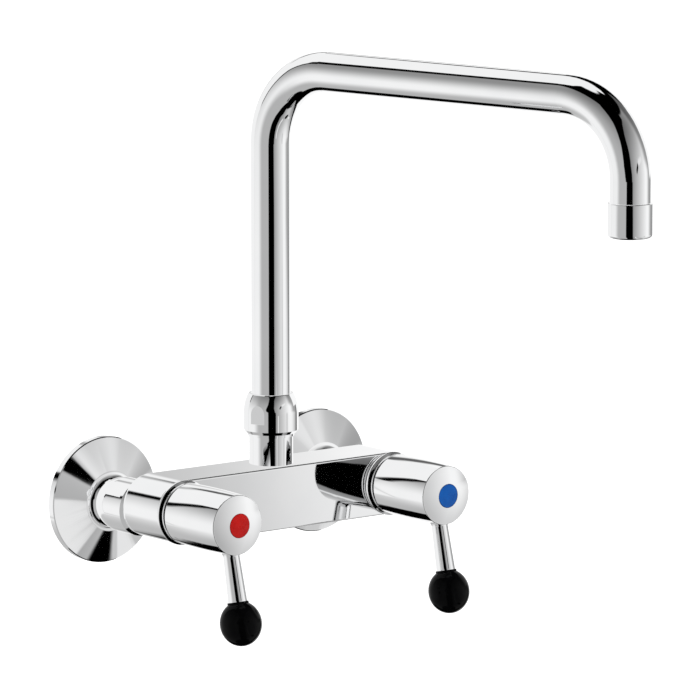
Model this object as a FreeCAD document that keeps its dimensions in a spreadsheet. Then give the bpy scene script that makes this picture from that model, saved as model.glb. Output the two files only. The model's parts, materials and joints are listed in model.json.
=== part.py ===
import FreeCAD, Part
import math
import os
import re
import Sketcher

# Wall-mounted mixer tap with a tall swivel spout and two lever handles.
# Origin: on the finished wall, midway between the two supply pipes.
# X runs to the cold side, Y into the wall and Z up. Lengths in millimetres, angles in degrees.

# Driving sizes. Radii are named radius, all other lengths are full lengths.
SIZES = {
    # clearances shared by every fit
    "running_clearance": 0.05,
    "thread_clearance": 0.05,
    "seat_gap": 0.3,
    # mixer body block
    "inlet_centres": 150.0,
    "valve_centres": 146.0,
    "valve_height": 2.7,
    "spout_standoff": 59.0,
    "block_back": 41.0,
    "block_depth": 34.0,
    "block_radius": 17.6,
    "block_front_round": 1.0,
    "block_back_round": 3.0,
    "inlet_thread_radius": 13.2,
    "inlet_thread_length": 15.0,
    "inlet_bore_radius": 8.0,
    "pocket_radius": 10.5,
    "pocket_depth": 17.0,
    "seat_bore_radius": 5.0,
    "seat_land": 5.0,
    "seat_overrun": 1.0,
    "cross_bore_radius": 4.5,
    "cross_bore_depth": 11.5,
    "spout_thread_radius": 10.0,
    "spout_thread_depth": 12.0,
    "spout_well_radius": 8.0,
    "spout_well_sump": 3.0,
    # wall flange
    "flange_radius": 35.5,
    "flange_rim": 4.5,
    "flange_edge_break": 0.5,
    "flange_wall": 1.6,
    "flange_shoulder_radius": 17.0,
    "flange_shoulder": 10.4,
    "flange_neck_radius": 12.3,
    "flange_height": 12.9,
    "flange_hollow_radius": 5.0,
    "flange_neck_land": 4.3,
    # wall union and its washer
    "union_radius": 10.45,
    "union_neck_radius": 10.2,
    "union_wall_length": 22.0,
    "union_bore_radius": 6.5,
    "union_collar_radius": 12.6,
    "union_collar_thickness": 4.0,
    "union_key_width": 14.0,
    "union_key_depth": 8.0,
    "union_edge_break": 0.8,
    "washer_thickness": 2.0,
    "washer_overhang": 0.3,
    # bell nuts
    "nut_radius": 15.35,
    "nut_chamfer": 1.45,
    "nut_chamfer_height": 1.8,
    "nut_bell_draw": 2.65,
    "nut_bell_rise": 10.75,
    "nut_edge_break": 0.3,
    "nut_flat_depth": 0.62,
    "union_nut_straight": 16.7,
    "union_nut_lip": 6.8,
    "union_nut_flat_start": 4.0,
    "spout_nut_straight": 11.3,
    "spout_nut_lip": 8.4,
    "spout_nut_flat_start": 6.2,
    "spout_nut_flat_angle": 68.0,
    "lip_clearance": 0.1,
    # spout nipple on top of the block
    "stub_radius": 12.3,
    "stub_height": 15.7,
    "stub_collar_radius": 13.0,
    "stub_collar": 1.2,
    "nut_base_gap": 0.5,
    "nipple_thread_length": 10.3,
    "nipple_bore_radius": 9.5,
    "nipple_bore_floor": 4.0,
    "nipple_water_radius": 7.0,
    # spout
    "spout_swing": 12.0,
    "tube_radius": 11.0,
    "tube_wall": 1.5,
    "tube_entry_gap": 0.3,
    "spout_rise": 222.2,
    "spout_reach": 250.0,
    "spout_bend_radius": 42.0,
    "spout_drop": 64.5,
    "foot_flange": 2.0,
    "foot_depth": 19.0,
    "foot_spigot": 10.0,
    "foot_bore_radius": 6.5,
    "seal_groove_depth": 1.5,
    "seal_groove_width": 2.0,
    "seal_section_radius": 0.72,
    "lower_seal_height": 4.0,
    "seal_pitch": 8.0,
    # aerator
    "aerator_radius": 12.1,
    "aerator_length": 18.9,
    "aerator_corner": 2.2,
    "aerator_edge_break": 0.5,
    "aerator_lip": 1.5,
    "aerator_mouth_radius": 9.7,
    "aerator_washer_thickness": 2.0,
    "aerator_washer_radius": 8.6,
    "aerator_flange": 2.0,
    "aerator_barrel_radius": 10.0,
    "aerator_barrel_height": 3.0,
    "aerator_nose_recess": 0.4,
    "aerator_cup_radius": 8.2,
    "aerator_grille": 2.0,
    "grille_hole_radius": 0.8,
    "grille_ring_pitch": 2.2,
    "grille_ring_holes": 6,
    "diffuser_thickness": 1.2,
    "diffuser_hole_radius": 0.6,
    "diffuser_ring_radius": 5.2,
    "diffuser_holes": 12,
    # cover ring and slip ring behind each handle
    "cover_radius": 18.0,
    "cover_thickness": 3.8,
    "cover_edge_break": 0.3,
    "cover_floor": 1.6,
    "slip_radius": 16.0,
    "slip_thickness": 0.9,
    # headwork housing
    "shank_radius": 10.45,
    "shank_thread_length": 6.0,
    "cage_radius": 9.6,
    "cage_length": 16.2,
    "chamber_radius": 8.0,
    "chamber_roof": 4.0,
    "side_window_width": 8.0,
    "side_window_foot": 12.2,
    "side_window_top": 6.6,
    "housing_flange_radius": 12.4,
    "housing_flange": 1.6,
    "housing_hex": 21.0,
    "housing_hex_height": 5.8,
    "housing_barrel_radius": 8.6,
    "housing_barrel_height": 6.0,
    "housing_edge_break": 0.6,
    "spindle_radius": 4.0,
    # ceramic discs, seal and thrust washer
    "disc_thickness": 2.4,
    "disc_clearance": 0.1,
    "disc_film": 0.05,
    "window_inner_radius": 3.0,
    "window_outer_radius": 6.5,
    "window_angle": 76.0,
    "key_width": 2.8,
    "key_depth": 1.1,
    "key_clearance": 0.1,
    "seat_seal_bore_radius": 5.6,
    "seat_seal_thickness": 2.0,
    "thrust_thickness": 0.5,
    # spindle
    "driver_width": 6.0,
    "driver_length": 14.0,
    "driver_engagement": 0.9,
    "driver_slot_depth": 1.0,
    "driver_height": 4.05,
    "spindle_collar_radius": 6.0,
    "spindle_groove_radius": 2.7,
    "spindle_groove_width": 1.5,
    "spindle_groove_height": 4.5,
    "spindle_seal_section_radius": 0.6,
    "clip_groove_radius": 3.4,
    "clip_float": 0.1,
    "clip_thickness": 0.8,
    "clip_radius": 5.6,
    "clip_opening": 4.6,
    "spline_root_radius": 3.5,
    "spline_tip_radius": 4.0,
    "spline_teeth": 20,
    "spline_root_width": 0.8,
    "spline_tip_width": 0.4,
    "spline_length": 13.0,
    "spline_runout": 0.9,
    "spline_clearance": 0.05,
    "screw_thread_radius": 2.0,
    "screw_grip": 9.0,
    "screw_hole_margin": 1.0,
    # handle
    "handle_length": 44.0,
    "handle_rear_radius": 16.9,
    "handle_face_radius": 16.65,
    "handle_side_curve": 520.0,
    "handle_edge_round": 0.5,
    "handle_dome": 2.4,
    "handle_wall": 2.7,
    "hub_web": 1.7,
    "button_radius": 6.5,
    "button_rim_chamfer": 0.35,
    # handle screw and index button
    "screw_head_radius": 3.6,
    "screw_head_height": 2.8,
    "screw_key_width": 3.0,
    "screw_key_depth": 1.5,
    "button_fit": 0.05,
    "button_depth": 7.0,
    "button_stem_radius": 5.2,
    "button_stem_height": 1.0,
    "button_proud": 0.1,
    "button_crown": 0.5,
    # lever
    "lever_setback": 9.7,
    "lever_lean": 13.0,
    "lever_hole_floor": 9.6,
    "lever_seat": 16.3,
    "lever_stud_radius": 4.0,
    "lever_flange_radius": 5.3,
    "lever_flare": 2.6,
    "lever_root_radius": 4.65,
    "lever_end_radius": 5.35,
    "lever_tip_centre": 55.4,
    "lever_tip_radius": 11.55,
    "lever_tip_half_length": 12.45,
    "lever_tip_collar_radius": 5.9,
    "lever_tip_collar": 1.1,
    "lever_socket_depth": 11.0,
    "lever_socket_clearance": 0.05,
}

# Places and radii worked out from the driving sizes.
# Wall-side places are measured from the wall, block-top places from the top of the block,
# valve places from the block's front face and lever places from the valve axis.
PLACES = {
    "block_front": "block_back + block_depth",
    "block_top": "valve_height + block_radius",
    "pocket_floor": "block_front - pocket_depth",
    "inlet_face": "block_back - inlet_thread_length",
    "union_collar_front": "inlet_face - washer_thickness",
    "union_collar_back": "union_collar_front - union_collar_thickness",
    "nut_small_radius": "nut_radius - nut_bell_draw",
    "nut_flat_distance": "nut_radius - nut_flat_depth",
    "nut_bell_radius": "(nut_bell_draw ^ 2 + nut_bell_rise ^ 2) / (2 * nut_bell_draw)",
    "nut_mouth": "block_back - seat_gap",
    "stub_top": "stub_height + stub_collar",
    "spout_nut_base": "stub_top + nut_base_gap",
    "spout_nut_top": "spout_nut_base + spout_nut_straight + nut_bell_rise + nut_edge_break",
    "spout_nut_shoulder": "spout_nut_top - spout_nut_lip",
    "nipple_top": "stub_top + nipple_thread_length",
    "foot_flange_base": "nipple_top + running_clearance",
    "foot_flange_top": "foot_flange_base + foot_flange",
    "tube_bore_radius": "tube_radius - tube_wall",
    "foot_radius": "nipple_bore_radius - running_clearance",
    "foot_base": "foot_flange_base - foot_depth",
    "spout_end": "spout_rise - spout_drop",
    "aerator_thread_radius": "tube_radius + thread_clearance",
    "aerator_washer_base": "aerator_lip + aerator_barrel_height + aerator_flange",
    "cover_bore_radius": "pocket_radius",
    "cover_recess_radius": "housing_flange_radius + key_clearance",
    "slip_front": "cover_thickness + slip_thickness",
    "handle_back": "slip_front + seat_gap",
    "handle_face": "handle_back + handle_length",
    "hex_base": "cover_floor + housing_flange",
    "hex_top": "hex_base + housing_hex_height",
    "housing_top": "hex_top + housing_barrel_height",
    "spindle_bore_radius": "spindle_radius + running_clearance",
    "disc_radius": "chamber_radius - disc_clearance",
    "fixed_disc_back": "seat_seal_thickness - pocket_depth",
    "fixed_disc_front": "fixed_disc_back + disc_thickness",
    "turning_disc_back": "fixed_disc_front + disc_film",
    "turning_disc_front": "turning_disc_back + disc_thickness",
    "driver_back": "turning_disc_front - driver_engagement",
    "driver_front": "driver_back + driver_height",
    "thrust_back": "0 - chamber_roof - thrust_thickness",
    "clip_back": "housing_top + clip_float",
    "clip_front": "clip_back + clip_thickness",
    "spline_base": "clip_front + spline_runout",
    "spindle_top": "spline_base + spline_length",
    "hub_face": "clip_front + seat_gap",
    "hub_bore_end": "spindle_top + seat_gap",
    "counterbore_floor": "hub_bore_end + hub_web",
    "cap_edge_radius": "handle_face_radius - handle_edge_round",
    "handle_cap_radius": "(cap_edge_radius ^ 2 + handle_dome ^ 2) / (2 * handle_dome)",
    "rim_drop": "button_radius ^ 2 / (2 * handle_cap_radius)",
    "button_rim": "handle_face + handle_dome - rim_drop",
    "button_edge": "button_rim + button_proud",
    "button_back": "button_edge - button_depth",
    "button_body_radius": "button_radius - button_fit",
    "button_crown_radius": "(button_body_radius ^ 2 + button_crown ^ 2) / (2 * button_crown)",
    "lever_root": "handle_face - lever_setback",
    "lever_tip_top": "lever_tip_centre - lever_tip_half_length",
    "lever_end": "lever_tip_top + lever_socket_depth",
}

document = FreeCAD.newDocument("WallMixerTap")
sheet = document.addObject("Spreadsheet::Sheet", "Sizes")
for row, (size_name, size_value) in enumerate(SIZES.items(), start=1):
    sheet.set("A" + str(row), size_name)
    sheet.set("B" + str(row), str(size_value))
    sheet.setAlias("B" + str(row), size_name)
document.recompute()

sub_parts = []


def bind(text):
    """Turn size and place names into an expression on the size sheet."""
    def swap(match):
        word = match.group(0)
        if word in PLACES:
            return "(" + bind(PLACES[word]) + ")"
        if word in SIZES:
            return "Sizes." + word
        return word
    return re.sub(r"[a-z][a-z0-9_]*", swap, text)


def number(text):
    """Present value of an expression."""
    return float(sheet.evalExpression(bind(text)))


def drive(item, prop, text):
    """Bind one property to an expression."""
    item.setExpression(prop, bind(text))


def check(item):
    """Stop where an object has failed to build."""
    if "Invalid" in item.State or "Error" in item.State:
        raise RuntimeError(item.Label + " did not build")


def new_body(label):
    body = document.addObject("PartDesign::Body", label)
    body.Label = label
    sub_parts.append(body)
    return body


def new_sketch(body, plane="XZ_Plane", height="0", turn=None, tilt=None, across="0"):
    """Sketch on an origin plane, lifted by height, turned in its plane or tilted about X."""
    sketch = body.newObject("Sketcher::SketchObject", body.Name + "_sketch")
    support = [item for item in body.Origin.OriginFeatures if item.Role == plane][0]
    sketch.AttachmentSupport = [(support, "")]
    sketch.MapMode = "FlatFace"
    angle = turn or tilt
    if angle:
        axis = FreeCAD.Vector(0, 0, 1) if turn else FreeCAD.Vector(1, 0, 0)
        turned = FreeCAD.Rotation(axis, number(angle))
        sketch.AttachmentOffset = FreeCAD.Placement(FreeCAD.Vector(), turned)
        drive(sketch, "AttachmentOffset.Rotation.Angle", angle)
    drive(sketch, "AttachmentOffset.Base.y", across)
    drive(sketch, "AttachmentOffset.Base.z", height)
    return sketch


def pin_point(sketch, geometry, point, across, up):
    """Hold one sketch point at its two distances from the sketch origin."""
    for kind, text in (("DistanceX", across), ("DistanceY", up)):
        index = sketch.addConstraint(Sketcher.Constraint(kind, -1, 1, geometry, point, number(text)))
        drive(sketch, "Constraints[" + str(index) + "]", text)


def pin_radius(sketch, geometry, radius):
    index = sketch.addConstraint(Sketcher.Constraint("Radius", geometry, number(radius)))
    drive(sketch, "Constraints[" + str(index) + "]", radius)


def arc_between(start, end, radius, side):
    """Arc from start to end whose centre is on the left (side 1) or right (side -1)."""
    chord = end - start
    half = chord.Length / 2
    leftward = FreeCAD.Vector(-chord.y, chord.x, 0).normalize()
    centre = (start + end) / 2 + leftward * side * (radius ** 2 - half ** 2) ** 0.5
    circle = Part.Circle(centre, FreeCAD.Vector(0, 0, 1), radius)
    first, last = (start, end) if side > 0 else (end, start)
    return Part.ArcOfCircle(circle, circle.parameter(first), circle.parameter(last))


def draw(sketch, corners, closed=True):
    """Chain of lines and arcs through corners written as (across, up) or (across, up, radius, side).

    A corner's radius and side shape the edge that arrives at it.
    """
    places = [FreeCAD.Vector(number(corner[0]), number(corner[1]), 0) for corner in corners]
    count = len(corners)
    ends = []
    for index in range(0 if closed else 1, count):
        corner = corners[index]
        start = places[index - 1]
        end = places[index]
        if len(corner) == 2:
            geometry = sketch.addGeometry(Part.LineSegment(start, end), False)
            ends.append((geometry, 1, 2))
        else:
            arc = arc_between(start, end, number(corner[2]), corner[3])
            geometry = sketch.addGeometry(arc, False)
            ends.append((geometry, 1, 2) if corner[3] > 0 else (geometry, 2, 1))
            pin_radius(sketch, geometry, corner[2])
    if not closed:
        pin_point(sketch, ends[0][0], ends[0][1], corners[0][0], corners[0][1])
    drawn = corners if closed else corners[1:]
    for index, (corner, edge) in enumerate(zip(drawn, ends)):
        pin_point(sketch, edge[0], edge[2], corner[0], corner[1])
        if index > 0 or closed:
            before = ends[index - 1]
            sketch.addConstraint(Sketcher.Constraint("Coincident", before[0], before[2], edge[0], edge[1]))


def draw_circle(sketch, radius, across="0", up="0"):
    centre = FreeCAD.Vector(number(across), number(up), 0)
    circle = Part.Circle(centre, FreeCAD.Vector(0, 0, 1), number(radius))
    geometry = sketch.addGeometry(circle, False)
    pin_radius(sketch, geometry, radius)
    pin_point(sketch, geometry, 3, across, up)


def draw_obround(sketch, half_centres, radius, up):
    """Slot outline with round ends at plus and minus half_centres."""
    reach = number(half_centres)
    size = number(radius)
    level = number(up)
    upright = FreeCAD.Vector(0, 0, 1)
    right_circle = Part.Circle(FreeCAD.Vector(reach, level, 0), upright, size)
    left_circle = Part.Circle(FreeCAD.Vector(-reach, level, 0), upright, size)
    quarter = math.pi / 2
    right = sketch.addGeometry(Part.ArcOfCircle(right_circle, -quarter, quarter), False)
    left = sketch.addGeometry(Part.ArcOfCircle(left_circle, quarter, 3 * quarter), False)
    sides = []
    for end in (1, -1):
        start_point = FreeCAD.Vector(end * reach, level + end * size, 0)
        end_point = FreeCAD.Vector(-end * reach, level + end * size, 0)
        sides.append(sketch.addGeometry(Part.LineSegment(start_point, end_point), False))
    top, low = sides
    for first, first_end, second, second_end in ((right, 2, top, 1), (top, 2, left, 1),
                                                 (left, 2, low, 1), (low, 2, right, 1)):
        sketch.addConstraint(Sketcher.Constraint("Tangent", first, first_end, second, second_end))
    sketch.addConstraint(Sketcher.Constraint("Equal", right, left))
    pin_radius(sketch, right, radius)
    pin_point(sketch, right, 3, half_centres, up)
    pin_point(sketch, left, 3, "0 - " + half_centres, up)


def finish_feature(body, feature, sketch, cuts):
    """Recompute and make sure that the feature changed the body the right way."""
    before = body.Shape.Volume if cuts else 0
    document.recompute()
    check(sketch)
    check(feature)
    if not sketch.FullyConstrained:
        raise RuntimeError(body.Label + " has a loose sketch")
    if cuts and body.Shape.Volume >= before:
        raise RuntimeError(body.Label + " has a cut that removes nothing")
    return feature


def revolve(body, corners, cuts=False):
    """Turn a half section drawn as (radius, height) about the body's Z axis."""
    sketch = new_sketch(body)
    draw(sketch, corners)
    kind = "PartDesign::Groove" if cuts else "PartDesign::Revolution"
    feature = body.newObject(kind, body.Name + "_turned")
    feature.Profile = sketch
    feature.ReferenceAxis = (sketch, ["V_Axis"])
    feature.Angle = 360
    return finish_feature(body, feature, sketch, cuts)


def pad(body, sketch, length, reverse=False):
    feature = body.newObject("PartDesign::Pad", body.Name + "_pad")
    feature.Profile = sketch
    feature.Reversed = reverse
    drive(feature, "Length", length)
    return finish_feature(body, feature, sketch, False)


def pocket(body, sketch, forward, length=None, both=False):
    """Cut along the sketch normal (forward) or against it, right through or by a length."""
    feature = body.newObject("PartDesign::Pocket", body.Name + "_pocket")
    feature.Profile = sketch
    feature.Reversed = forward
    if both:
        feature.SideType = "Symmetric"
    if length:
        drive(feature, "Length", length)
    else:
        feature.Type = "ThroughAll"
    return finish_feature(body, feature, sketch, True)


def polar(body, feature, sketch, count):
    """Repeat a feature evenly about the sketch normal."""
    pattern = body.newObject("PartDesign::PolarPattern", body.Name + "_pattern")
    pattern.Originals = [feature]
    pattern.Axis = (sketch, ["N_Axis"])
    pattern.Angle = 360
    drive(pattern, "Occurrences", count)
    body.Tip = pattern
    document.recompute()
    check(pattern)
    return pattern


def round_edges(body, radius, wanted):
    """Fillet the edges of the body's tip that the wanted test picks."""
    base = body.Tip
    names = ["Edge" + str(index) for index, edge in enumerate(base.Shape.Edges, start=1) if wanted(edge)]
    fillet = body.newObject("PartDesign::Fillet", body.Name + "_round")
    fillet.Base = (base, names)
    drive(fillet, "Radius", radius)
    document.recompute()
    check(fillet)


def polygon(count, across_flats):
    """Corners of a regular polygon of the given width across flats."""
    step = 360 // count
    reach = across_flats + " / (2 * cos(" + str(step / 2) + "))"
    return [(reach + " * cos(" + str(step * k) + ")", reach + " * sin(" + str(step * k) + ")")
            for k in range(count)]


def place(item, across, outward, up, axis=None, angle=None):
    """Put a sub-part at its place, turned about an axis through its own origin."""
    if axis:
        item.Placement = FreeCAD.Placement(FreeCAD.Vector(), FreeCAD.Rotation(axis, number(angle)))
        drive(item, "Placement.Rotation.Angle", angle)
    drive(item, "Placement.Base.x", across)
    drive(item, "Placement.Base.y", "0 - (" + outward + ")")
    drive(item, "Placement.Base.z", up)


X_AXIS = FreeCAD.Vector(1, 0, 0)
Z_AXIS = FreeCAD.Vector(0, 0, 1)
FACING_OUT = "90"
FACING_WALL = "0 - 90"


def place_on_inlet(item, sign, outward="0", angle=FACING_OUT):
    place(item, str(sign) + " * inlet_centres / 2", outward, "0", X_AXIS, angle)


def place_on_valve(item, sign):
    place(item, str(sign) + " * valve_centres / 2", "block_front", "valve_height", X_AXIS, FACING_OUT)


def place_on_lever(item, sign):
    place(item, str(sign) + " * valve_centres / 2", "block_front + lever_root", "valve_height",
          X_AXIS, "180 - lever_lean")


def place_on_block(item):
    place(item, "0", "spout_standoff", "block_top")


def place_on_spout(item):
    place(item, "0", "spout_standoff", "block_top", Z_AXIS, "spout_swing")


def place_on_outlet(item):
    place(item, "spout_reach * sin(spout_swing)", "spout_standoff + spout_reach * cos(spout_swing)",
          "block_top + spout_end - aerator_washer_base - aerator_washer_thickness", Z_AXIS, "spout_swing")


# Mixer body

def make_mixer_body():
    """Obround brass block with its water ways. Local Z runs from the wall to the user."""
    body = new_body("mixer_body")
    outline = new_sketch(body, "XY_Plane", "block_back")
    draw_obround(outline, "valve_centres / 2", "block_radius", "valve_height")
    pad(body, outline, "block_depth")

    def lies_at(level):
        return lambda edge: all(abs(vertex.Z - level) < 0.001 for vertex in edge.Vertexes)
    round_edges(body, "block_front_round", lies_at(number("block_front")))
    round_edges(body, "block_back_round", lies_at(number("block_back")))
    for sign in ("0 - ", ""):
        inlet_x = sign + "inlet_centres / 2"
        valve_x = sign + "valve_centres / 2"
        thread = new_sketch(body, "XY_Plane", "inlet_face")
        draw_circle(thread, "inlet_thread_radius", inlet_x)
        pad(body, thread, "inlet_thread_length + block_back_round")
        inlet = new_sketch(body, "XY_Plane", "pocket_floor - seat_land")
        draw_circle(inlet, "inlet_bore_radius", inlet_x)
        pocket(body, inlet, False)
        valve = new_sketch(body, "XY_Plane", "pocket_floor")
        draw_circle(valve, "pocket_radius", valve_x, "valve_height")
        pocket(body, valve, True)
        seat = new_sketch(body, "XY_Plane", "pocket_floor - seat_land - seat_overrun")
        draw_circle(seat, "seat_bore_radius", valve_x, "valve_height")
        pocket(body, seat, True)
    cross = new_sketch(body, "YZ_Plane")
    draw_circle(cross, "cross_bore_radius", "valve_height", "block_front - cross_bore_depth")
    pocket(body, cross, True, "valve_centres", both=True)
    socket = new_sketch(body, "XZ_Plane", "spout_thread_depth - block_top")
    draw_circle(socket, "spout_thread_radius", "0", "spout_standoff")
    pocket(body, socket, False)
    well = new_sketch(body, "XZ_Plane", "spout_well_sump - valve_height")
    draw_circle(well, "spout_well_radius", "0", "spout_standoff")
    pocket(body, well, False)
    place(body, "0", "0", "0", X_AXIS, FACING_OUT)


# Wall connections

def make_wall_flange(side, sign):
    """Trumpet-shaped cover plate that hides the hole in the wall."""
    body = new_body("wall_flange_" + side)
    bore = "union_neck_radius + lip_clearance"
    revolve(body, [
        ("flange_radius", "0"),
        ("flange_radius", "flange_rim - flange_edge_break"),
        ("flange_radius - flange_edge_break", "flange_rim"),
        ("flange_shoulder_radius", "flange_shoulder"),
        ("flange_neck_radius", "flange_height", "flange_hollow_radius", -1),
        (bore, "flange_height"),
        (bore, "flange_height - flange_neck_land"),
        ("flange_radius - flange_wall", "flange_rim - flange_wall"),
        ("flange_radius - flange_wall", "0"),
    ])
    place_on_inlet(body, sign)


def make_wall_union(side, sign):
    """Threaded union between the supply pipe and the tap, with a key hole in its front end."""
    body = new_body("wall_union_" + side)
    revolve(body, [
        ("union_bore_radius", "0 - union_wall_length"),
        ("union_radius - union_edge_break", "0 - union_wall_length"),
        ("union_radius", "union_edge_break - union_wall_length"),
        ("union_radius", "0"),
        ("union_neck_radius", "0"),
        ("union_neck_radius", "union_collar_back"),
        ("union_collar_radius", "union_collar_back"),
        ("union_collar_radius", "union_collar_front"),
        ("union_bore_radius", "union_collar_front"),
    ])
    key = new_sketch(body, "XY_Plane", "union_collar_front - union_key_depth")
    draw(key, polygon(6, "union_key_width"))
    pocket(body, key, True)
    place_on_inlet(body, sign)


def make_inlet_washer(side, sign):
    body = new_body("inlet_washer_" + side)
    revolve(body, [
        ("inlet_bore_radius", "union_collar_front"),
        ("inlet_thread_radius - washer_overhang", "union_collar_front"),
        ("inlet_thread_radius - washer_overhang", "inlet_face"),
        ("inlet_bore_radius", "inlet_face"),
    ])
    place_on_inlet(body, sign)


# Bell nuts

def make_bell_nut(label, straight, lip, lip_bore, thread_radius, flat_start, flat_angle):
    """Round nut with a chamfered mouth at Z 0, a bell-shaped far end and two wrench flats."""
    body = new_body(label)
    shoulder = straight + " + nut_bell_rise + nut_edge_break - " + lip
    thread_bore = thread_radius + " + thread_clearance"
    top = straight + " + nut_bell_rise + nut_edge_break"
    revolve(body, [
        (thread_bore, "0"),
        ("nut_radius - nut_chamfer", "0"),
        ("nut_radius", "nut_chamfer_height"),
        ("nut_radius", straight),
        ("nut_small_radius", straight + " + nut_bell_rise", "nut_bell_radius", 1),
        ("nut_small_radius - nut_edge_break", top),
        (lip_bore, top),
        (lip_bore, shoulder),
        (thread_bore, shoulder),
    ])
    flat = new_sketch(body, "XY_Plane", flat_start, turn=flat_angle)
    draw(flat, [
        ("nut_flat_distance", "0 - nut_radius"),
        ("nut_radius + nut_chamfer", "0 - nut_radius"),
        ("nut_radius + nut_chamfer", "nut_radius"),
        ("nut_flat_distance", "nut_radius"),
    ])
    polar(body, pocket(body, flat, True), flat, "2")
    return body


def make_union_nut(side, sign, flat_angle):
    body = make_bell_nut("union_nut_" + side, "union_nut_straight", "union_nut_lip",
                         "union_neck_radius + lip_clearance", "inlet_thread_radius",
                         "union_nut_flat_start", flat_angle)
    place_on_inlet(body, sign, "nut_mouth", FACING_WALL)


def make_spout_nut():
    body = make_bell_nut("spout_nut", "spout_nut_straight", "spout_nut_lip",
                         "tube_radius + tube_entry_gap", "stub_collar_radius",
                         "spout_nut_flat_start", "270 - spout_nut_flat_angle")
    place(body, "0", "spout_standoff", "block_top + spout_nut_base")


# Spout column

def make_spout_nipple():
    """Threaded stub between the block and the spout nut, bored for the spout's foot."""
    body = new_body("spout_nipple")
    shank = "spout_thread_radius - thread_clearance"
    revolve(body, [
        ("nipple_water_radius", "0 - spout_thread_depth"),
        (shank, "0 - spout_thread_depth"),
        (shank, "0"),
        ("stub_radius", "0"),
        ("stub_radius", "stub_height"),
        ("stub_collar_radius", "stub_height"),
        ("stub_collar_radius", "nipple_top"),
        ("nipple_bore_radius", "nipple_top"),
        ("nipple_bore_radius", "nipple_bore_floor"),
        ("nipple_water_radius", "nipple_bore_floor"),
    ])
    place_on_block(body)


def make_spout_slip_ring():
    """Plain bearing ring that keeps the spout's foot down under the nut."""
    body = new_body("spout_slip_ring")
    base = "foot_flange_top + running_clearance"
    revolve(body, [
        ("tube_radius + running_clearance", base),
        ("stub_collar_radius - washer_overhang", base),
        ("stub_collar_radius - washer_overhang", "spout_nut_shoulder"),
        ("tube_radius + running_clearance", "spout_nut_shoulder"),
    ])
    place_on_block(body)


def make_spout_foot():
    """Turned foot of the spout: a flange that turns on the nipple and a spigot with two seal grooves."""
    body = new_body("spout_foot")
    groove_bottom = "foot_radius - seal_groove_depth"
    corners = [("foot_bore_radius", "foot_base"), ("foot_radius", "foot_base")]
    for seal in range(2):
        low = "foot_base + lower_seal_height + " + str(seal) + " * seal_pitch"
        corners += [
            ("foot_radius", low),
            (groove_bottom, low),
            (groove_bottom, low + " + seal_groove_width"),
            ("foot_radius", low + " + seal_groove_width"),
        ]
    corners += [
        ("foot_radius", "foot_flange_base"),
        ("stub_collar_radius - washer_overhang", "foot_flange_base"),
        ("stub_collar_radius - washer_overhang", "foot_flange_top"),
        ("tube_bore_radius - running_clearance", "foot_flange_top"),
        ("tube_bore_radius - running_clearance", "foot_flange_top + foot_spigot"),
        ("foot_bore_radius", "foot_flange_top + foot_spigot"),
    ]
    revolve(body, corners)
    place_on_spout(body)


def make_ring_seal(label, centre_radius, section_radius, height):
    """Round-section rubber ring about Z."""
    ring = document.addObject("Part::Torus", label)
    ring.Label = label
    drive(ring, "Radius1", centre_radius)
    drive(ring, "Radius2", section_radius)
    drive(ring, "Placement.Base.z", height)
    return ring


def make_spout_seals():
    """Two rubber rings in the grooves of the spout's foot."""
    rings = []
    for seal in range(2):
        height = "foot_base + lower_seal_height + " + str(seal) + " * seal_pitch + seal_groove_width / 2"
        rings.append(make_ring_seal("spout_seal_ring_" + str(seal + 1),
                                    "foot_radius - seal_section_radius", "seal_section_radius", height))
    group = document.addObject("Part::Compound", "spout_o_rings")
    group.Label = "spout_o_rings"
    group.Links = rings
    sub_parts.append(group)
    place_on_spout(group)


def make_spout_tube():
    """Swan-neck tube: up, over and down with two quarter bends."""
    body = new_body("spout_tube")
    ring = new_sketch(body, "XY_Plane", "foot_flange_top")
    draw_circle(ring, "tube_radius")
    draw_circle(ring, "tube_bore_radius")
    route = new_sketch(body, "YZ_Plane")
    draw(route, [
        ("0", "foot_flange_top"),
        ("0", "spout_rise - spout_bend_radius"),
        ("0 - spout_bend_radius", "spout_rise", "spout_bend_radius", 1),
        ("spout_bend_radius - spout_reach", "spout_rise"),
        ("0 - spout_reach", "spout_rise - spout_bend_radius", "spout_bend_radius", 1),
        ("0 - spout_reach", "spout_end"),
    ], closed=False)
    document.recompute()
    check(route)
    tube = body.newObject("PartDesign::AdditivePipe", "spout_tube_bent")
    tube.Profile = ring
    tube.Spine = (route, ["Edge" + str(index) for index in range(1, 6)])
    finish_feature(body, tube, ring, False)
    place_on_spout(body)


# Aerator at the outlet, drawn from its own lower face at Z 0

def make_aerator_housing():
    body = new_body("aerator_housing")
    revolve(body, [
        ("aerator_mouth_radius", "0"),
        ("aerator_radius - aerator_corner", "0"),
        ("aerator_radius", "aerator_corner", "aerator_corner", 1),
        ("aerator_radius", "aerator_length - aerator_edge_break"),
        ("aerator_radius - aerator_edge_break", "aerator_length", "aerator_edge_break", 1),
        ("aerator_thread_radius", "aerator_length"),
        ("aerator_thread_radius", "aerator_lip"),
        ("aerator_mouth_radius", "aerator_lip"),
    ])
    place_on_outlet(body)


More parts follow.
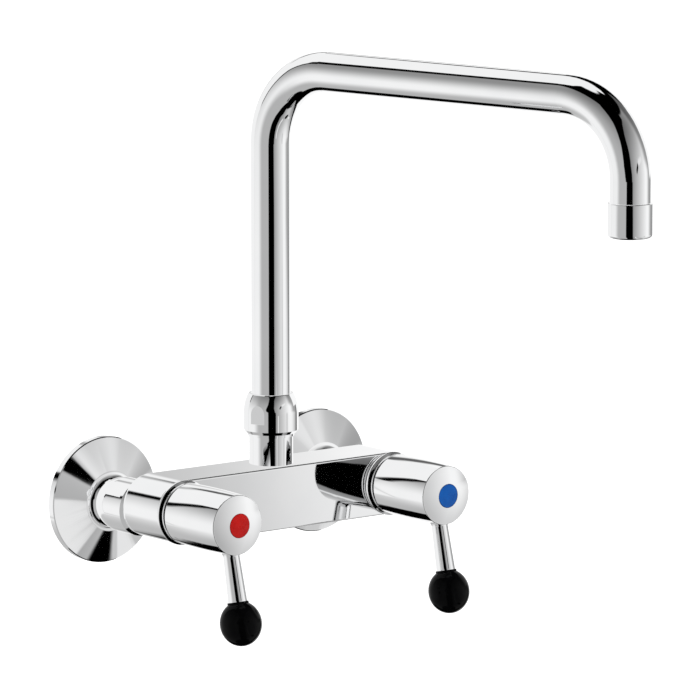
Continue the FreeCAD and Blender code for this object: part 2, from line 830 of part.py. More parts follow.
def make_aerator_insert():
    """Plastic cup with a perforated floor that breaks up the stream."""
    body = new_body("aerator_insert")
    top = "aerator_washer_base"
    revolve(body, [
        ("0", "aerator_nose_recess"),
        ("aerator_mouth_radius - disc_clearance", "aerator_nose_recess"),
        ("aerator_mouth_radius - disc_clearance", "aerator_lip"),
        ("aerator_barrel_radius", "aerator_lip"),
        ("aerator_barrel_radius", top + " - aerator_flange"),
        ("tube_radius - disc_clearance", top + " - aerator_flange"),
        ("tube_radius - disc_clearance", top),
        ("aerator_cup_radius", top),
        ("aerator_cup_radius", "aerator_nose_recess + aerator_grille"),
        ("0", "aerator_nose_recess + aerator_grille"),
    ])
    centre = new_sketch(body, "XY_Plane")
    draw_circle(centre, "grille_hole_radius")
    pocket(body, centre, True)
    for ring in range(1, 4):
        hole = new_sketch(body, "XY_Plane")
        draw_circle(hole, "grille_hole_radius", str(ring) + " * grille_ring_pitch")
        polar(body, pocket(body, hole, True), hole, str(ring) + " * grille_ring_holes")
    place_on_outlet(body)


def make_aerator_diffuser():
    """Perforated plate that lies in the cup above the grille."""
    body = new_body("aerator_diffuser")
    base = "aerator_nose_recess + aerator_grille"
    plate = new_sketch(body, "XY_Plane", base)
    draw_circle(plate, "aerator_cup_radius - disc_clearance")
    pad(body, plate, "diffuser_thickness")
    hole = new_sketch(body, "XY_Plane", base)
    draw_circle(hole, "diffuser_hole_radius", "diffuser_ring_radius")
    polar(body, pocket(body, hole, True), hole, "diffuser_holes")
    place_on_outlet(body)


def make_aerator_washer():
    body = new_body("aerator_washer")
    top = "aerator_washer_base + aerator_washer_thickness"
    revolve(body, [
        ("aerator_washer_radius", "aerator_washer_base"),
        ("tube_radius", "aerator_washer_base"),
        ("tube_radius", top),
        ("aerator_washer_radius", top),
    ])
    place_on_outlet(body)


# Valve on each side, drawn from the block's front face at Z 0

def make_cover_ring(side, sign):
    """Chromed ring clamped under the headwork's flange."""
    body = new_body("cover_ring_" + side)
    revolve(body, [
        ("cover_bore_radius", "0"),
        ("cover_radius", "0"),
        ("cover_radius", "cover_thickness - cover_edge_break"),
        ("cover_radius - cover_edge_break", "cover_thickness"),
        ("cover_recess_radius", "cover_thickness"),
        ("cover_recess_radius", "cover_floor"),
        ("cover_bore_radius", "cover_floor"),
    ])
    place_on_valve(body, sign)


def make_slip_ring(side, sign):
    """Black ring that fills the groove between the cover ring and the handle."""
    body = new_body("slip_ring_" + side)
    revolve(body, [
        ("cover_recess_radius", "cover_thickness"),
        ("slip_radius", "cover_thickness"),
        ("slip_radius", "slip_front"),
        ("cover_recess_radius", "slip_front"),
    ])
    place_on_valve(body, sign)


def make_headwork_housing(side, sign):
    """Brass housing with a caged disc chamber, side windows and a hexagon for the spanner."""
    body = new_body("headwork_housing_" + side)
    revolve(body, [
        ("chamber_radius", "0 - cage_length"),
        ("cage_radius", "0 - cage_length"),
        ("cage_radius", "0 - shank_thread_length"),
        ("shank_radius", "0 - shank_thread_length"),
        ("shank_radius", "cover_floor"),
        ("housing_flange_radius", "cover_floor"),
        ("housing_flange_radius", "hex_base"),
        ("housing_barrel_radius", "hex_base"),
        ("housing_barrel_radius", "housing_top - housing_edge_break"),
        ("housing_barrel_radius - housing_edge_break", "housing_top"),
        ("spindle_bore_radius", "housing_top"),
        ("spindle_bore_radius", "0 - chamber_roof"),
        ("chamber_radius", "0 - chamber_roof"),
    ])
    hexagon = new_sketch(body, "XY_Plane", "hex_base")
    draw(hexagon, polygon(6, "housing_hex"))
    draw_circle(hexagon, "spindle_bore_radius")
    pad(body, hexagon, "housing_hex_height")
    window = new_sketch(body, "XZ_Plane")
    draw(window, [
        ("0 - side_window_width / 2", "0 - side_window_foot"),
        ("side_window_width / 2", "0 - side_window_foot"),
        ("side_window_width / 2", "0 - side_window_top"),
        ("0 - side_window_width / 2", "0 - side_window_top"),
    ])
    pocket(body, window, True, "3 * cage_radius", both=True)
    key = new_sketch(body, "XY_Plane", "fixed_disc_back")
    draw(key, [
        ("chamber_radius - key_depth", "0 - key_width / 2"),
        ("(chamber_radius + cage_radius) / 2", "0 - key_width / 2"),
        ("(chamber_radius + cage_radius) / 2", "key_width / 2"),
        ("chamber_radius - key_depth", "key_width / 2"),
    ])
    polar(body, pad(body, key, "disc_thickness - key_clearance"), key, "2")
    place_on_valve(body, sign)


def cut_windows(body, base, first_angle):
    """Two opposite sector-shaped water windows right through a disc."""
    sector = new_sketch(body, "XY_Plane", base, turn=first_angle)
    cosine = " * cos(window_angle / 2)"
    sine = " * sin(window_angle / 2)"
    draw(sector, [
        ("window_outer_radius" + cosine, "0 - window_outer_radius" + sine),
        ("window_outer_radius" + cosine, "window_outer_radius" + sine, "window_outer_radius", 1),
        ("window_inner_radius" + cosine, "window_inner_radius" + sine),
        ("window_inner_radius" + cosine, "0 - window_inner_radius" + sine, "window_inner_radius", -1),
    ])
    polar(body, pocket(body, sector, True), sector, "2")


def make_fixed_disc(side, sign):
    """Lower ceramic disc, held by two keys, with its windows above and below the axis."""
    body = new_body("fixed_disc_" + side)
    face = new_sketch(body, "XY_Plane", "fixed_disc_back")
    draw_circle(face, "disc_radius")
    pad(body, face, "disc_thickness")
    cut_windows(body, "fixed_disc_back", "90")
    notch = new_sketch(body, "XY_Plane", "fixed_disc_back")
    half_width = "(key_width / 2 + key_clearance)"
    inner = "chamber_radius - key_depth - key_clearance"
    draw(notch, [
        (inner, "0 - " + half_width),
        ("chamber_radius + key_depth", "0 - " + half_width),
        ("chamber_radius + key_depth", half_width),
        (inner, half_width),
    ])
    polar(body, pocket(body, notch, True), notch, "2")
    place_on_valve(body, sign)


def make_turning_disc(side, sign):
    """Upper ceramic disc, shut at rest: its windows lie a quarter turn from the fixed ones."""
    body = new_body("turning_disc_" + side)
    face = new_sketch(body, "XY_Plane", "turning_disc_back")
    draw_circle(face, "disc_radius")
    pad(body, face, "disc_thickness")
    cut_windows(body, "turning_disc_back", "0")
    slot = new_sketch(body, "XY_Plane", "turning_disc_front - driver_slot_depth")
    half_width = "(driver_width / 2 + key_clearance)"
    draw(slot, [
        ("0 - " + half_width, "0 - 2 * disc_radius"),
        (half_width, "0 - 2 * disc_radius"),
        (half_width, "2 * disc_radius"),
        ("0 - " + half_width, "2 * disc_radius"),
    ])
    pocket(body, slot, True)
    place_on_valve(body, sign)


def make_seat_seal(side, sign):
    """Rubber ring that presses the fixed disc away from the valve seat."""
    body = new_body("seat_seal_" + side)
    revolve(body, [
        ("seat_seal_bore_radius", "0 - pocket_depth"),
        ("disc_radius", "0 - pocket_depth"),
        ("disc_radius", "fixed_disc_back"),
        ("seat_seal_bore_radius", "fixed_disc_back"),
    ])
    place_on_valve(body, sign)


def make_thrust_washer(side, sign):
    body = new_body("thrust_washer_" + side)
    revolve(body, [
        ("spindle_bore_radius", "thrust_back"),
        ("disc_radius", "thrust_back"),
        ("disc_radius", "0 - chamber_roof"),
        ("spindle_bore_radius", "0 - chamber_roof"),
    ])
    place_on_valve(body, sign)


def cut_or_pad_spline(body, base, clearance, cuts):
    """Ring of spline teeth, as teeth on a shaft or as grooves in a bore."""
    tooth = new_sketch(body, "XY_Plane", base)
    foot = "(spline_root_width / 2 + " + clearance + ")"
    tip = "(spline_tip_width / 2 + " + clearance + ")"
    draw(tooth, [
        ("spline_root_radius - spline_tip_width", "0 - " + foot),
        ("spline_tip_radius + " + clearance, "0 - " + tip),
        ("spline_tip_radius + " + clearance, tip),
        ("spline_root_radius - spline_tip_width", foot),
    ])
    if cuts:
        feature = pocket(body, tooth, False)
    else:
        feature = pad(body, tooth, "spline_length")
    polar(body, feature, tooth, "spline_teeth")


def make_spindle(side, sign):
    """Spindle with a driver bar for the turning disc, a sealed journal and a splined end."""
    body = new_body("spindle_" + side)
    collar_front = "thrust_back - running_clearance"
    groove_top = "spindle_groove_height + spindle_groove_width"
    revolve(body, [
        ("0", "driver_front"),
        ("spindle_collar_radius", "driver_front"),
        ("spindle_collar_radius", collar_front),
        ("spindle_radius", collar_front),
        ("spindle_radius", "spindle_groove_height"),
        ("spindle_groove_radius", "spindle_groove_height"),
        ("spindle_groove_radius", groove_top),
        ("spindle_radius", groove_top),
        ("spindle_radius", "clip_back"),
        ("clip_groove_radius", "clip_back"),
        ("clip_groove_radius", "clip_front"),
        ("spline_root_radius", "clip_front"),
        ("spline_root_radius", "spindle_top"),
        ("0", "spindle_top"),
    ])
    bar = new_sketch(body, "XY_Plane", "driver_back")
    draw(bar, [
        ("0 - driver_width / 2", "0 - driver_length / 2"),
        ("driver_width / 2", "0 - driver_length / 2"),
        ("driver_width / 2", "driver_length / 2"),
        ("0 - driver_width / 2", "driver_length / 2"),
    ])
    pad(body, bar, "driver_height")
    cut_or_pad_spline(body, "spline_base", "0", cuts=False)
    hole = new_sketch(body, "XY_Plane", "spindle_top - screw_grip - screw_hole_margin")
    draw_circle(hole, "screw_thread_radius + thread_clearance")
    pocket(body, hole, True)
    place_on_valve(body, sign)


def make_spindle_seal(side, sign):
    ring = make_ring_seal("spindle_o_ring_" + side, "spindle_radius - spindle_seal_section_radius",
                          "spindle_seal_section_radius", "0")
    sub_parts.append(ring)
    place(ring, str(sign) + " * valve_centres / 2",
          "block_front + spindle_groove_height + spindle_groove_width / 2", "valve_height",
          X_AXIS, FACING_OUT)


def make_spindle_clip(side, sign):
    """Open spring ring that keeps the spindle in its housing."""
    body = new_body("spindle_clip_" + side)
    blank = new_sketch(body, "XY_Plane", "clip_back")
    draw_circle(blank, "clip_radius")
    draw_circle(blank, "clip_groove_radius")
    pad(body, blank, "clip_thickness")
    mouth = new_sketch(body, "XY_Plane", "clip_back")
    draw(mouth, [
        ("0 - clip_opening / 2", "0"),
        ("clip_opening / 2", "0"),
        ("clip_opening / 2", "2 * clip_radius"),
        ("0 - clip_opening / 2", "2 * clip_radius"),
    ])
    pocket(body, mouth, True)
    place_on_valve(body, sign)


# Handle on each side

def make_handle(side, sign):
    """Hollow barrel handle with a domed face, a splined hub and a seat for the lever."""
    body = new_body("handle_" + side)
    revolve(body, [
        ("0", "handle_back"),
        ("handle_rear_radius - handle_edge_round", "handle_back"),
        ("handle_rear_radius", "handle_back + handle_edge_round", "handle_edge_round", 1),
        ("handle_face_radius", "handle_face - handle_edge_round", "handle_side_curve", 1),
        ("cap_edge_radius", "handle_face", "handle_edge_round", 1),
        ("0", "handle_face + handle_dome", "handle_cap_radius", 1),
    ])
    cavity = new_sketch(body, "XY_Plane", "hub_face")
    draw_circle(cavity, "handle_rear_radius - handle_wall")
    pocket(body, cavity, False)
    bore = new_sketch(body, "XY_Plane", "hub_bore_end")
    draw_circle(bore, "spline_root_radius + spline_clearance")
    pocket(body, bore, False)
    cut_or_pad_spline(body, "hub_bore_end", "spline_clearance", cuts=True)
    screw_hole = new_sketch(body, "XY_Plane", "hub_bore_end")
    draw_circle(screw_hole, "screw_thread_radius + lip_clearance")
    pocket(body, screw_hole, True)
    counterbore = new_sketch(body, "XY_Plane", "counterbore_floor")
    draw_circle(counterbore, "button_radius")
    pocket(body, counterbore, True)
    revolve(body, [
        ("button_radius", "button_rim - button_rim_chamfer"),
        ("button_radius + button_rim_chamfer * 2", "button_rim + button_rim_chamfer"),
        ("button_radius", "button_rim + button_rim_chamfer"),
    ], cuts=True)
    for radius, floor in (("lever_stud_radius + lip_clearance", "lever_hole_floor"),
                          ("lever_flange_radius + lip_clearance", "lever_seat")):
        hole = new_sketch(body, "XY_Plane", "lever_root + " + floor + " * sin(lever_lean)",
                          tilt="90 - lever_lean", across="0 - " + floor + " * cos(lever_lean)")
        draw_circle(hole, radius)
        pocket(body, hole, True)
    place_on_valve(body, sign)


def make_handle_screw(side, sign):
    """Cap screw that holds the handle on the spindle."""
    body = new_body("handle_screw_" + side)
    tip = "spindle_top - screw_grip"
    head_top = "counterbore_floor + screw_head_height"
    revolve(body, [
        ("0", tip),
        ("screw_thread_radius", tip),
        ("screw_thread_radius", "counterbore_floor"),
        ("screw_head_radius", "counterbore_floor"),
        ("screw_head_radius", head_top),
        ("0", head_top),
    ])
    key = new_sketch(body, "XY_Plane", head_top + " - screw_key_depth")
    draw(key, polygon(6, "screw_key_width"))
    pocket(body, key, True)
    place_on_valve(body, sign)


def make_index_button(side, sign):
    """Coloured plug in the handle's face."""
    body = new_body("index_button_" + side)
    revolve(body, [
        ("0", "button_back"),
        ("button_stem_radius", "button_back"),
        ("button_stem_radius", "button_back + button_stem_height"),
        ("button_body_radius", "button_back + button_stem_height"),
        ("button_body_radius", "button_edge"),
        ("0", "button_edge + button_crown", "button_crown_radius", 1),
    ])
    place_on_valve(body, sign)


# Lever on each side, drawn from the valve axis at Z 0 down along the lever

def make_lever_rod(side, sign):
    """Tapered rod with a flared foot that seats on the handle."""
    body = new_body("lever_rod_" + side)
    revolve(body, [
        ("0", "lever_hole_floor + seat_gap"),
        ("lever_stud_radius", "lever_hole_floor + seat_gap"),
        ("lever_stud_radius", "lever_seat"),
        ("lever_flange_radius", "lever_seat"),
        ("lever_root_radius", "lever_seat + lever_flare", "2 * lever_flare", -1),
        ("lever_end_radius", "lever_tip_top"),
        ("lever_end_radius", "lever_end - seat_gap"),
        ("0", "lever_end - seat_gap"),
    ])
    place_on_lever(body, sign)


def make_lever_tip(side, sign):
    """Egg-shaped black grip with a collar and a socket for the rod."""
    body = new_body("lever_tip_" + side)
    egg = body.newObject("PartDesign::AdditiveEllipsoid", body.Name + "_egg")
    support = [item for item in body.Origin.OriginFeatures if item.Role == "XY_Plane"][0]
    egg.AttachmentSupport = [(support, "")]
    egg.MapMode = "FlatFace"
    drive(egg, "AttachmentOffset.Base.z", "lever_tip_centre")
    drive(egg, "Radius1", "lever_tip_half_length")
    drive(egg, "Radius2", "lever_tip_radius")
    drive(egg, "Radius3", "lever_tip_radius")
    document.recompute()
    check(egg)
    collar = new_sketch(body, "XY_Plane", "lever_tip_top + lever_tip_collar / 2")
    draw_circle(collar, "lever_tip_collar_radius")
    pad(body, collar, "2 * lever_tip_collar")
    crown = new_sketch(body, "XY_Plane", "lever_tip_top + lever_tip_collar / 2")
    draw_circle(crown, "lever_tip_radius")
    pocket(body, crown, False)
    socket = new_sketch(body, "XY_Plane", "lever_end")
    draw_circle(socket, "lever_end_radius + lever_socket_clearance")
    pocket(body, socket, False)
    place_on_lever(body, sign)


make_mixer_body()
make_spout_nipple()
make_spout_nut()
make_spout_slip_ring()
make_spout_foot()
make_spout_seals()
make_spout_tube()
make_aerator_housing()
make_aerator_washer()
make_aerator_diffuser()
make_aerator_insert()
for side, sign, flat_angle in (("hot", -1, "225"), ("cold", 1, "315")):
    make_wall_flange(side, sign)
    make_wall_union(side, sign)
    make_union_nut(side, sign, flat_angle)
    make_inlet_washer(side, sign)
    make_cover_ring(side, sign)
    make_slip_ring(side, sign)
    make_headwork_housing(side, sign)
    make_seat_seal(side, sign)
    make_fixed_disc(side, sign)
    make_thrust_washer(side, sign)
    make_turning_disc(side, sign)
    make_spindle(side, sign)
    make_spindle_seal(side, sign)
    make_spindle_clip(side, sign)
    make_handle(side, sign)
    make_handle_screw(side, sign)
    make_index_button(side, sign)
    make_lever_rod(side, sign)
    make_lever_tip(side, sign)

document.recompute()
for item in document.Objects:
    check(item)
for item in sub_parts:
    if item.Shape.isNull() or not item.Shape.isValid():
        raise RuntimeError(item.Label + " has no valid shape")

os.makedirs("parts", exist_ok=True)
for item in sub_parts:
    item.Shape.exportStep("parts/" + item.Label + ".step")
    print(item.Label, len(item.Shape.Solids), round(item.Shape.Volume, 1))
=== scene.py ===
import json
import math
import bpy
from mathutils import Matrix, Vector


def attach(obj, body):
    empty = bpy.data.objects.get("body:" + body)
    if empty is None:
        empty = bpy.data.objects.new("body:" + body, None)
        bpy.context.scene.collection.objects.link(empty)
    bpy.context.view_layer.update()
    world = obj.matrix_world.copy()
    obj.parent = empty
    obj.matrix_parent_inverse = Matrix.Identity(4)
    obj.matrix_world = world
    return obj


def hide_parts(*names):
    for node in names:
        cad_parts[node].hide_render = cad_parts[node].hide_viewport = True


# Wall-mounted mixer tap. Metres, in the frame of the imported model, where a name doesn't say otherwise.

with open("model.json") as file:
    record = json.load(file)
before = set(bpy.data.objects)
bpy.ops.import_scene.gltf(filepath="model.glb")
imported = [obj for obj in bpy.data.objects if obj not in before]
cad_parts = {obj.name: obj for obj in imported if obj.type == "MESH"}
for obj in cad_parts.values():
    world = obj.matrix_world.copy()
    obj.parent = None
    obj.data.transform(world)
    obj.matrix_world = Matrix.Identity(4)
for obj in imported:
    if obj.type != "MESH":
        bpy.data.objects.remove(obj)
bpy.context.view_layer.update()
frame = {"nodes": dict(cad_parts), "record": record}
nodes = frame["nodes"]
scene = bpy.context.scene

MILLIMETRE = 0.001
MICRON = 0.000001
WHITE = (1, 1, 1, 1)
SIDES = (("hot", -1), ("cold", 1))


# Materials

# The share of a noise texture's values that is stretched over a full range of numbers, or of colours.
NOISE_LOW, NOISE_HIGH = 0.3, 0.7
BLEND_LOW, BLEND_HIGH = 0.35, 0.65


class Nodes:
    """Adds nodes to the node tree of a material or a world, and joins them."""

    def __init__(self, owner, output):
        owner.use_nodes = True
        self.tree = owner.node_tree
        self.tree.nodes.clear()
        self.output = self.add(output)

    def add(self, kind, **settings):
        node = self.tree.nodes.new(kind)
        for name, value in settings.items():
            setattr(node, name, value)
        return node

    def join(self, out, into):
        self.tree.links.new(out, into)

    def total(self, first, second, operation="ADD"):
        node = self.add("ShaderNodeMath", operation=operation)
        self.join(first, node.inputs[0])
        self.join(second, node.inputs[1])
        return node.outputs["Value"]


class Shader(Nodes):
    """The nodes of one material."""

    def __init__(self, name):
        self.material = bpy.data.materials.new(name)
        super().__init__(self.material, "ShaderNodeOutputMaterial")
        self.place = self.add("ShaderNodeTexCoord").outputs["Object"]

    def stretched(self, scale):
        mapping = self.add("ShaderNodeMapping")
        mapping.inputs["Scale"].default_value = scale
        self.join(self.place, mapping.inputs["Vector"])
        return mapping.outputs["Vector"]

    def noise(self, per_metre, detail, place=None):
        node = self.add("ShaderNodeTexNoise")
        node.inputs["Scale"].default_value = per_metre
        node.inputs["Detail"].default_value = detail
        self.join(place or self.place, node.inputs["Vector"])
        return node.outputs["Fac"]

    def spread(self, value, low, high, from_low=NOISE_LOW, from_high=NOISE_HIGH):
        node = self.add("ShaderNodeMapRange")
        node.inputs["From Min"].default_value = from_low
        node.inputs["From Max"].default_value = from_high
        node.inputs["To Min"].default_value = low
        node.inputs["To Max"].default_value = high
        self.join(value, node.inputs["Value"])
        return node.outputs["Result"]

    def blend(self, value, first, second):
        ramp = self.add("ShaderNodeValToRGB")
        low, high = ramp.color_ramp.elements
        low.position, high.position = BLEND_LOW, BLEND_HIGH
        low.color, high.color = (*first, 1), (*second, 1)
        self.join(value, ramp.inputs["Fac"])
        return ramp.outputs["Color"]

    def bump(self, height, distance, below=None):
        node = self.add("ShaderNodeBump")
        node.inputs["Strength"].default_value = 1.0
        node.inputs["Distance"].default_value = distance
        self.join(height, node.inputs["Height"])
        if below:
            self.join(below, node.inputs["Normal"])
        return node.outputs["Normal"]

    def surface(self, colour, rough, normal, **plain):
        shader = self.add("ShaderNodeBsdfPrincipled")
        self.join(colour, shader.inputs["Base Color"])
        self.join(rough, shader.inputs["Roughness"])
        self.join(normal, shader.inputs["Normal"])
        for name, value in plain.items():
            shader.inputs[name.replace("_", " ")].default_value = value
        self.join(shader.outputs["BSDF"], self.output.inputs["Surface"])
        return self.material


def chrome():
    """Mirror plate over polished brass: faint waves, fine polishing lines and a breath of smudge."""
    s = Shader("chrome_plate")
    smudge = s.noise(per_metre=45, detail=4)
    lines = s.noise(per_metre=1, detail=2, place=s.stretched((5200, 5200, 240)))
    waves = s.noise(per_metre=38, detail=1)
    colour = s.blend(smudge, (0.915, 0.920, 0.927), (0.937, 0.940, 0.944))
    rough = s.total(s.spread(smudge, 0.012, 0.038), s.spread(lines, 0.0, 0.012))
    normal = s.bump(lines, 0.4 * MICRON, s.bump(waves, 12 * MICRON))
    return s.surface(colour, rough, normal, Metallic=1.0)


def turned_metal(name, light, dark, rough, pitch):
    """Machined metal with turning marks across the tap's outward axis."""
    s = Shader(name)
    patina = s.noise(per_metre=160, detail=5)
    grain = s.noise(per_metre=2600, detail=3)
    marks = s.add("ShaderNodeTexWave", wave_type="BANDS", bands_direction="Y")
    # The wave texture repeats every pi / 10 metres at scale 1.
    marks.inputs["Scale"].default_value = math.pi / 10 / pitch
    marks.inputs["Distortion"].default_value = 1.2
    s.join(s.place, marks.inputs["Vector"])
    colour = s.blend(patina, dark, light)
    finish = s.total(s.spread(patina, rough[1], rough[0]), s.spread(grain, 0.0, 0.06))
    normal = s.bump(marks.outputs["Fac"], 8 * MICRON, s.bump(grain, 4 * MICRON))
    return s.surface(colour, finish, normal, Metallic=1.0)


def moulded(name, light, dark, rough, per_metre, depth, **plain):
    """Moulded or fired material with a fine even grain and a little unevenness in tone."""
    s = Shader(name)
    tone = s.noise(per_metre=220, detail=4)
    grain = s.noise(per_metre=per_metre, detail=2)
    colour = s.blend(tone, dark, light)
    finish = s.total(s.spread(tone, *rough), s.spread(grain, 0.0, 0.04))
    return s.surface(colour, finish, s.bump(grain, depth * MICRON), **plain)


materials = {
    "chrome": chrome(),
    "brass": turned_metal("turned_brass", light=(0.80, 0.62, 0.34), dark=(0.66, 0.48, 0.24),
                          rough=(0.20, 0.34), pitch=0.30 * MILLIMETRE),
    "steel": turned_metal("turned_steel", light=(0.64, 0.65, 0.66), dark=(0.52, 0.53, 0.54),
                          rough=(0.24, 0.36), pitch=0.20 * MILLIMETRE),
    "ceramic": moulded("alumina_ceramic", light=(0.94, 0.93, 0.89), dark=(0.90, 0.89, 0.85),
                       rough=(0.12, 0.22), per_metre=5200, depth=2),
    "rubber": moulded("black_rubber", light=(0.055, 0.055, 0.056), dark=(0.040, 0.040, 0.041),
                      rough=(0.55, 0.72), per_metre=3400, depth=12),
    "nylon": moulded("white_nylon", light=(0.91, 0.90, 0.85), dark=(0.87, 0.86, 0.81),
                     rough=(0.34, 0.48), per_metre=1800, depth=8),
    "black_plastic": moulded("black_gloss_plastic", light=(0.0016, 0.0016, 0.0018),
                             dark=(0.0009, 0.0009, 0.0010), rough=(0.05, 0.09),
                             per_metre=2400, depth=1, Specular_IOR_Level=0.05),
    "aerator_plastic": moulded("grey_plastic", light=(0.74, 0.75, 0.76), dark=(0.69, 0.70, 0.71),
                               rough=(0.36, 0.50), per_metre=2000, depth=10),
    "red_index": moulded("red_index_plastic", light=(0.500, 0.007, 0.005), dark=(0.430, 0.004, 0.003),
                         rough=(0.24, 0.34), per_metre=2600, depth=10, Specular_IOR_Level=0.15),
    "blue_index": moulded("blue_index_plastic", light=(0.004, 0.098, 0.405), dark=(0.002, 0.076, 0.340),
                          rough=(0.24, 0.34), per_metre=2600, depth=10, Specular_IOR_Level=0.15),
}
for subpart in frame["record"]["subparts"]:
    mesh = nodes[subpart["node"]].data
    mesh.materials.clear()
    mesh.materials.append(materials[subpart["material_slot"]])

# As in the photograph, only the handles and their rings show in the tap's own mirrors.
MIRRORED = ("handle_hot", "handle_cold", "lever_", "index_", "slip_ring_")
for name, node in nodes.items():
    if not name.startswith(MIRRORED):
        node.visible_glossy = False


# Pieces

SHARP_ANGLE = math.radians(38)


def smooth(start, end, value):
    """0 up to start, 1 from end on, and a smooth rise between them."""
    share = min(1.0, max(0.0, (value - start) / (end - start)))
    return share * share * (3 - 2 * share)


def make_mesh(name, points, faces, material):
    mesh = bpy.data.meshes.new(name)
    mesh.from_pydata(points, [], faces)
    mesh.materials.append(material)
    mesh.update()
    thing = bpy.data.objects.new(name, mesh)
    scene.collection.objects.link(thing)
    return thing


def turned(name, loop, x, z, segments, material, shape=None):
    """A ring-shaped piece turned about an axis along Y through x and z, from a closed loop of
    (radius, y), all in millimetres. shape(radius, y, angle) gives the radius where a loop isn't round."""
    points, faces = [], []
    for radius, y in loop:
        for step in range(segments):
            angle = math.tau * step / segments
            out = shape(radius, y, angle) if shape else radius
            place = Vector((x + out * math.cos(angle), y, z + out * math.sin(angle)))
            points.append(place * MILLIMETRE)
    for row in range(len(loop)):
        here, there = row * segments, (row + 1) % len(loop) * segments
        for step in range(segments):
            after = (step + 1) % segments
            faces.append((here + step, here + after, there + after, there + step))
    thing = make_mesh(name, points, faces, material)
    thing.data.shade_smooth()
    thing.data.set_sharp_from_angle(angle=SHARP_ANGLE)
    return thing


# Cover rings: a bevelled edge towards the block, a groove and a small bead under the handle.
RING_AXIS_X, RING_AXIS_Z = 73, 2.7
COVER_RING = ((10.7, -75.0), (17.95, -75.0), (18.0, -75.1), (18.0, -75.95), (17.92, -76.12), (17.75, -76.25),
              (16.35, -77.2), (16.25, -77.3), (16.2, -77.45), (16.2, -77.85), (16.35, -78.0), (16.75, -78.1),
              (16.95, -78.25), (16.95, -78.5), (16.85, -78.7), (16.6, -78.8), (12.5, -78.8), (12.5, -76.6),
              (10.7, -76.6))
for side, sign in SIDES:
    ring = turned("cover_ring_edge_" + side, COVER_RING, sign * RING_AXIS_X, RING_AXIS_Z, 96,
                  materials["chrome"])
    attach(ring, "tap_body")
    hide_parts("cover_ring_" + side)


# Wall unions: a real pipe thread on the wall end, with the hexagon for the key in the front end.
UNION_AXIS_X = 75
BORE, KEY_FLAT, NECK, COLLAR = 6.5, 7.0, 10.2, 12.6
THREAD_END, END_FACE, END_CHAMFER = 22.0, 8.9, 9.75
THREAD_CREST, THREAD_DEPTH, THREAD_PITCH, THREAD_RISE = 10.45, 1.16, 1.814, 1.6
THREAD_ROWS, ROW_STEP = 157, 0.14
NECK_END, UNION_END, POCKET_END = -20.0, -24.0, -16.0
KEY_HEXAGON = -1


def union_shape(radius, y, angle):
    """Radius of a union at one angle: the thread on its crest, and the hexagon of its key."""
    if radius == KEY_HEXAGON:
        from_flat = (angle + math.pi / 6) % (math.pi / 3) - math.pi / 6
        return KEY_FLAT / math.cos(from_flat)
    if radius != THREAD_CREST:
        return radius
    from_root = abs((y / THREAD_PITCH + angle / math.tau) % 1 - 0.5)
    cut = (1 - smooth(0.08, 0.42, from_root)) * smooth(0, THREAD_RISE, y)
    return min(THREAD_CREST, END_CHAMFER + THREAD_END - y) - THREAD_DEPTH * cut


UNION = [(BORE, THREAD_END), (END_FACE, THREAD_END)]
UNION += [(THREAD_CREST, THREAD_END - 0.01 - ROW_STEP * row) for row in range(THREAD_ROWS)]
UNION += [(NECK, -0.02), (NECK, NECK_END), (COLLAR, NECK_END), (COLLAR, UNION_END),
          (KEY_HEXAGON, UNION_END), (KEY_HEXAGON, POCKET_END), (BORE, POCKET_END)]
for side, sign in SIDES:
    union = turned("threaded_union_" + side, UNION, sign * UNION_AXIS_X, 0, 90,
                   materials["brass"], union_shape)
    union.visible_glossy = False
    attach(union, "tap_body")
    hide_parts("wall_union_" + side)


# Floor and white surroundings

FLOOR_HEIGHT = -0.35
FLOOR_RADII = (0.5, 1.5, 4.0, 10.0, 25.0)
FLOOR_STEPS = 64
SKY_LIGHT = 0.45


def floor_material():
    """Pale matt floor, topped up to white for the camera so that only shadows show on it."""
    s = Shader("pale_floor")
    matt = s.add("ShaderNodeBsdfDiffuse")
    mottle = s.noise(per_metre=9, detail=3)
    s.join(s.blend(mottle, (0.895, 0.895, 0.895), (0.905, 0.905, 0.905)), matt.inputs["Color"])
    away = s.add("ShaderNodeVectorMath", operation="LENGTH")
    s.join(s.place, away.inputs[0])
    lift = s.spread(away.outputs["Value"], low=0.30, high=0.75, from_low=0.6, from_high=3.0)
    path = s.add("ShaderNodeLightPath")
    glow = s.add("ShaderNodeEmission")
    glow.inputs["Color"].default_value = WHITE
    s.join(s.total(path.outputs["Is Camera Ray"], lift, "MULTIPLY"), glow.inputs["Strength"])
    both = s.add("ShaderNodeAddShader")
    s.join(matt.outputs["BSDF"], both.inputs[0])
    s.join(glow.outputs["Emission"], both.inputs[1])
    s.join(both.outputs["Shader"], s.output.inputs["Surface"])
    return s.material


floor_points = [(0, 0, FLOOR_HEIGHT)]
for radius in FLOOR_RADII:
    for step in range(FLOOR_STEPS):
        turn = math.tau * step / FLOOR_STEPS
        floor_points.append((radius * math.cos(turn), radius * math.sin(turn), FLOOR_HEIGHT))
floor_faces = [(0, 1 + step, 1 + (step + 1) % FLOOR_STEPS) for step in range(FLOOR_STEPS)]
for ring in range(len(FLOOR_RADII) - 1):
    inner = 1 + ring * FLOOR_STEPS
    outer = inner + FLOOR_STEPS
    for step in range(FLOOR_STEPS):
        after = (step + 1) % FLOOR_STEPS
        floor_faces.append((inner + step, outer + step, outer + after, inner + after))
floor = make_mesh("floor", floor_points, floor_faces, floor_material())
floor.visible_glossy = False

